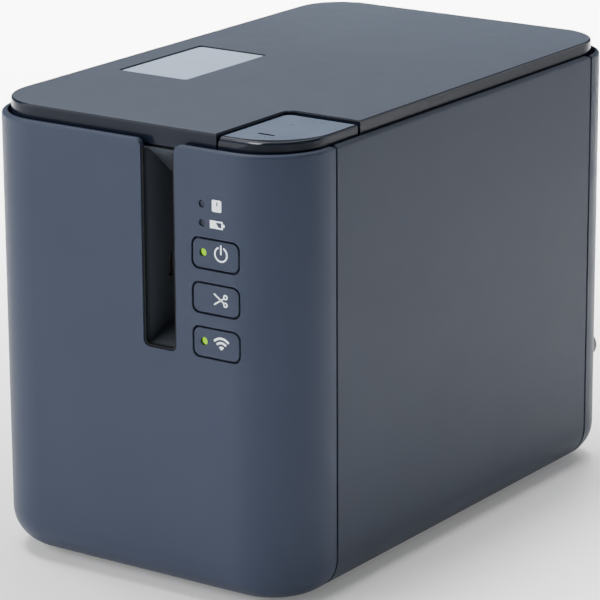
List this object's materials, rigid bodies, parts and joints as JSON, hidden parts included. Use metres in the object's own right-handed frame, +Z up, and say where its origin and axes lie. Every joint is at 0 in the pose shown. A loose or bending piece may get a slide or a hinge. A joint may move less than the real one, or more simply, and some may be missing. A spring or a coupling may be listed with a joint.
{
  "type": "label maker",
  "caption": "Boxy desktop label maker with rounded corners, a hinged lid with a window, a tall tape slot, front buttons and a quarter-round lid release button.",
  "frame": {"origin": "on the surface it stands on, under the middle of the body", "axes": "+Z up, -Y the front with the tape slot and buttons, +X the right-hand side seen from the front"},
  "size_m": [0.118, 0.192, 0.146],
  "materials": {
    "slate_plastic": "fine matte texture",
    "side_plastic": "fine matte texture",
    "lid_plastic": "fine matte texture",
    "black_plastic": "matte",
    "dark_gloss_plastic": "gloss",
    "pad_plastic": "satin",
    "window_plastic": "gloss, translucent",
    "light_plastic": "gloss, translucent",
    "clear_plastic": "gloss",
    "gear_plastic": "satin",
    "cassette_plastic": "satin",
    "cassette_lid_plastic": "satin, translucent",
    "tape": "satin",
    "ribbon": "gloss",
    "rubber": "matte",
    "steel": "brushed",
    "zinc": "plated",
    "ceramic": "gloss",
    "brass": "machined",
    "board": "gloss",
    "chip_plastic": "matte"
  },
  "bodies": {
    "housing": {"front_cover": "slate_plastic", "left_side_panel": "side_plastic", "right_side_panel": "side_plastic", "rear_cover": "side_plastic", "base_cover": "black_plastic", "inner_frame": "black_plastic", "top_deck": "black_plastic", "cassette_tub": "black_plastic", "exit_chute": "black_plastic", "hinge_brackets": "black_plastic", "head_bracket": "zinc", "print_head": "ceramic", "mechanism_plate": "zinc", "fixed_shafts": "steel", "feed_motor": "zinc", "cutter_frame": "zinc", "fixed_blade": "steel", "cutter_motor": "zinc", "main_board": "board", "board_components": "chip_plastic", "panel_board": "board", "button_switches": "chip_plastic", "status_light_guides": "clear_plastic", "usb_socket": "zinc", "serial_socket": "chip_plastic", "power_inlet": "chip_plastic", "rubber_feet": "rubber", "housing_screws": "steel", "board_screws": "steel", "battery_contact_cover": "black_plastic", "release_spring": "steel", "latch_pin": "steel"},
    "lid": {"lid_cover": "lid_plastic", "lid_frame": "dark_gloss_plastic", "lid_liner": "black_plastic", "lid_window": "window_plastic", "lid_hinge_pins": "black_plastic", "lid_catch": "black_plastic", "press_pads": "rubber"},
    "release": {"release_button": "dark_gloss_plastic", "release_button_pad": "pad_plastic"},
    "latch": {"latch_lever": "black_plastic"},
    "power_key": {"power_button": "slate_plastic", "power_light_lens": "light_plastic"},
    "cutter_key": {"cutter_button": "slate_plastic"},
    "wireless_key": {"wireless_button": "slate_plastic", "wireless_light_lens": "light_plastic"},
    "cassette": {"cassette_case": "cassette_plastic", "cassette_cover": "cassette_lid_plastic", "tape_roll": "tape", "ribbon_roll": "ribbon"},
    "holder": {"roller_holder": "black_plastic"},
    "platen": {"platen_roller": "rubber", "platen_shaft": "steel", "platen_gear": "gear_plastic"},
    "idler": {"idler_gear": "gear_plastic"},
    "pinion": {"motor_pinion": "brass"},
    "takeup": {"takeup_spindle": "gear_plastic"},
    "blade": {"moving_blade": "steel"},
    "blade_pinion": {"cutter_pinion": "gear_plastic"}
  },
  "joints": [
    {"name": "lid_hinge", "type": "hinge", "parent": "housing", "child": "lid", "pos_m": [0, 0.086, 0.1429], "axis": [-1, 0, 0], "range_deg": [0, 95]},
    {"name": "release_press", "type": "slide", "parent": "housing", "child": "release", "axis": [0, 0, -1], "range_m": [0, 0.0018], "stiffness_N_per_m": 1500, "springref_m": -0.002, "deforming": ["release_spring"]},
    {"name": "latch_swing", "type": "hinge", "parent": "housing", "child": "latch", "pos_m": [0.046, -0.062, 0.118], "axis": [1, 0, 0], "range_deg": [0, 9.01]},
    {"name": "power_press", "type": "slide", "parent": "housing", "child": "power_key", "axis": [0, 1, 0], "range_m": [0, 0.0006], "stiffness_N_per_m": 2500, "springref_m": -0.0003},
    {"name": "cutter_press", "type": "slide", "parent": "housing", "child": "cutter_key", "axis": [0, 1, 0], "range_m": [0, 0.0006], "stiffness_N_per_m": 2500, "springref_m": -0.0003},
    {"name": "wireless_press", "type": "slide", "parent": "housing", "child": "wireless_key", "axis": [0, 1, 0], "range_m": [0, 0.0006], "stiffness_N_per_m": 2500, "springref_m": -0.0003},
    {"name": "cassette_lift", "type": "slide", "parent": "housing", "child": "cassette", "axis": [0, 0, 1], "range_m": [0, 0.005]},
    {"name": "roller_holder_swing", "type": "hinge", "parent": "housing", "child": "holder", "pos_m": [0.03199, -0.03372, 0.108], "axis": [0, 0, 1], "range_deg": [0, 4.5]},
    {"name": "idler_spin", "type": "hinge", "parent": "housing", "child": "idler", "pos_m": [-0.00336, -0.04079, 0.0777], "axis": [0, 0, 1], "continuous": true},
    {"name": "platen_spin", "type": "hinge", "parent": "holder", "child": "platen", "pos_m": [0.01785, -0.062, 0.108], "axis": [0, 0, 1], "continuous": true},
    {"name": "pinion_spin", "type": "hinge", "parent": "housing", "child": "pinion", "pos_m": [-0.02995, -0.0361, 0.0777], "axis": [0, 0, 1], "continuous": true},
    {"name": "takeup_spin", "type": "hinge", "parent": "housing", "child": "takeup", "pos_m": [0.01314, -0.01221, 0.0777], "axis": [0, 0, 1], "continuous": true},
    {"name": "blade_swing", "type": "hinge", "parent": "housing", "child": "blade", "pos_m": [0.014, -0.0786, 0.079], "axis": [0, -1, 0], "range_deg": [0, 14]},
    {"name": "blade_pinion_spin", "type": "hinge", "parent": "housing", "child": "blade_pinion", "pos_m": [0.014, -0.0786, 0.0534], "axis": [0, -1, 0], "range_deg": [-50.1, 0]}
  ],
  "couplings": [
    {"joint": "latch_swing", "follows": "release_press", "rad_per_m": 87.2},
    {"joint": "roller_holder_swing", "follows": "lid_hinge", "ratio": 0.0473},
    {"joint": "platen_spin", "follows": "idler_spin", "ratio": -2},
    {"joint": "pinion_spin", "follows": "idler_spin", "ratio": -2.8571},
    {"joint": "takeup_spin", "follows": "idler_spin", "ratio": -1.5385},
    {"joint": "blade_pinion_spin", "follows": "blade_swing", "ratio": -3.5714}
  ]
}
